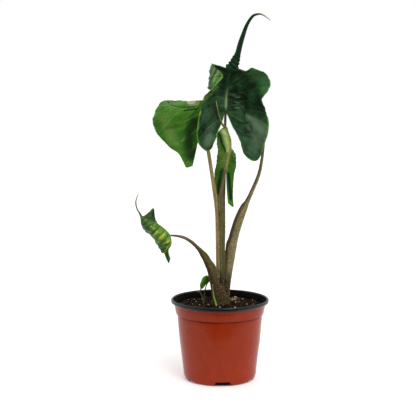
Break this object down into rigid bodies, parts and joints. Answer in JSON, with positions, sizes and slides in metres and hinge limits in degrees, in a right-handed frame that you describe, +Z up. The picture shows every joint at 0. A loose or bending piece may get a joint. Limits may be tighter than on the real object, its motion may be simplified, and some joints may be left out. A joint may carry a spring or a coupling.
{
  "type": "potted alocasia stingray plant",
  "caption": "Potted alocasia with wide glossy leaves that end in long upright tails, on tan mottled stalks, in a plain tapered nursery pot filled with soil.",
  "frame": {"origin": "middle of the pot's floor, on the surface the pot stands on", "axes": "+Z up along the pot's axis, -Y towards the side that the picture shows, +X to the right in that view"},
  "size_m": [0.2157, 0.178, 0.5928],
  "materials": {
    "pot_plastic": "satin, moulded, terracotta colour with a black lip",
    "potting_soil": null,
    "stalk_tan": null,
    "stalk_dark": null,
    "leaf_dark": null,
    "leaf_mid": null,
    "leaf_young": null,
    "spike_green": null
  },
  "bodies": {
    "root": {"pot": "pot_plastic", "soil": "potting_soil", "stalk_left_leaf": "stalk_tan", "stalk_top_leaf": "stalk_dark", "stalk_middle_leaf": "stalk_dark", "stalk_rear_leaf": "stalk_tan", "stalk_young_leaf": "stalk_dark", "leaf_top": "leaf_dark", "leaf_left": "leaf_mid", "leaf_middle": "leaf_mid", "leaf_rear": "leaf_mid", "leaf_young": "leaf_young", "sprout_leaf": "leaf_young", "sprout_stem": "stalk_dark", "curled_sprout": "stalk_dark", "green_spike": "spike_green"}
  },
  "joints": []
}
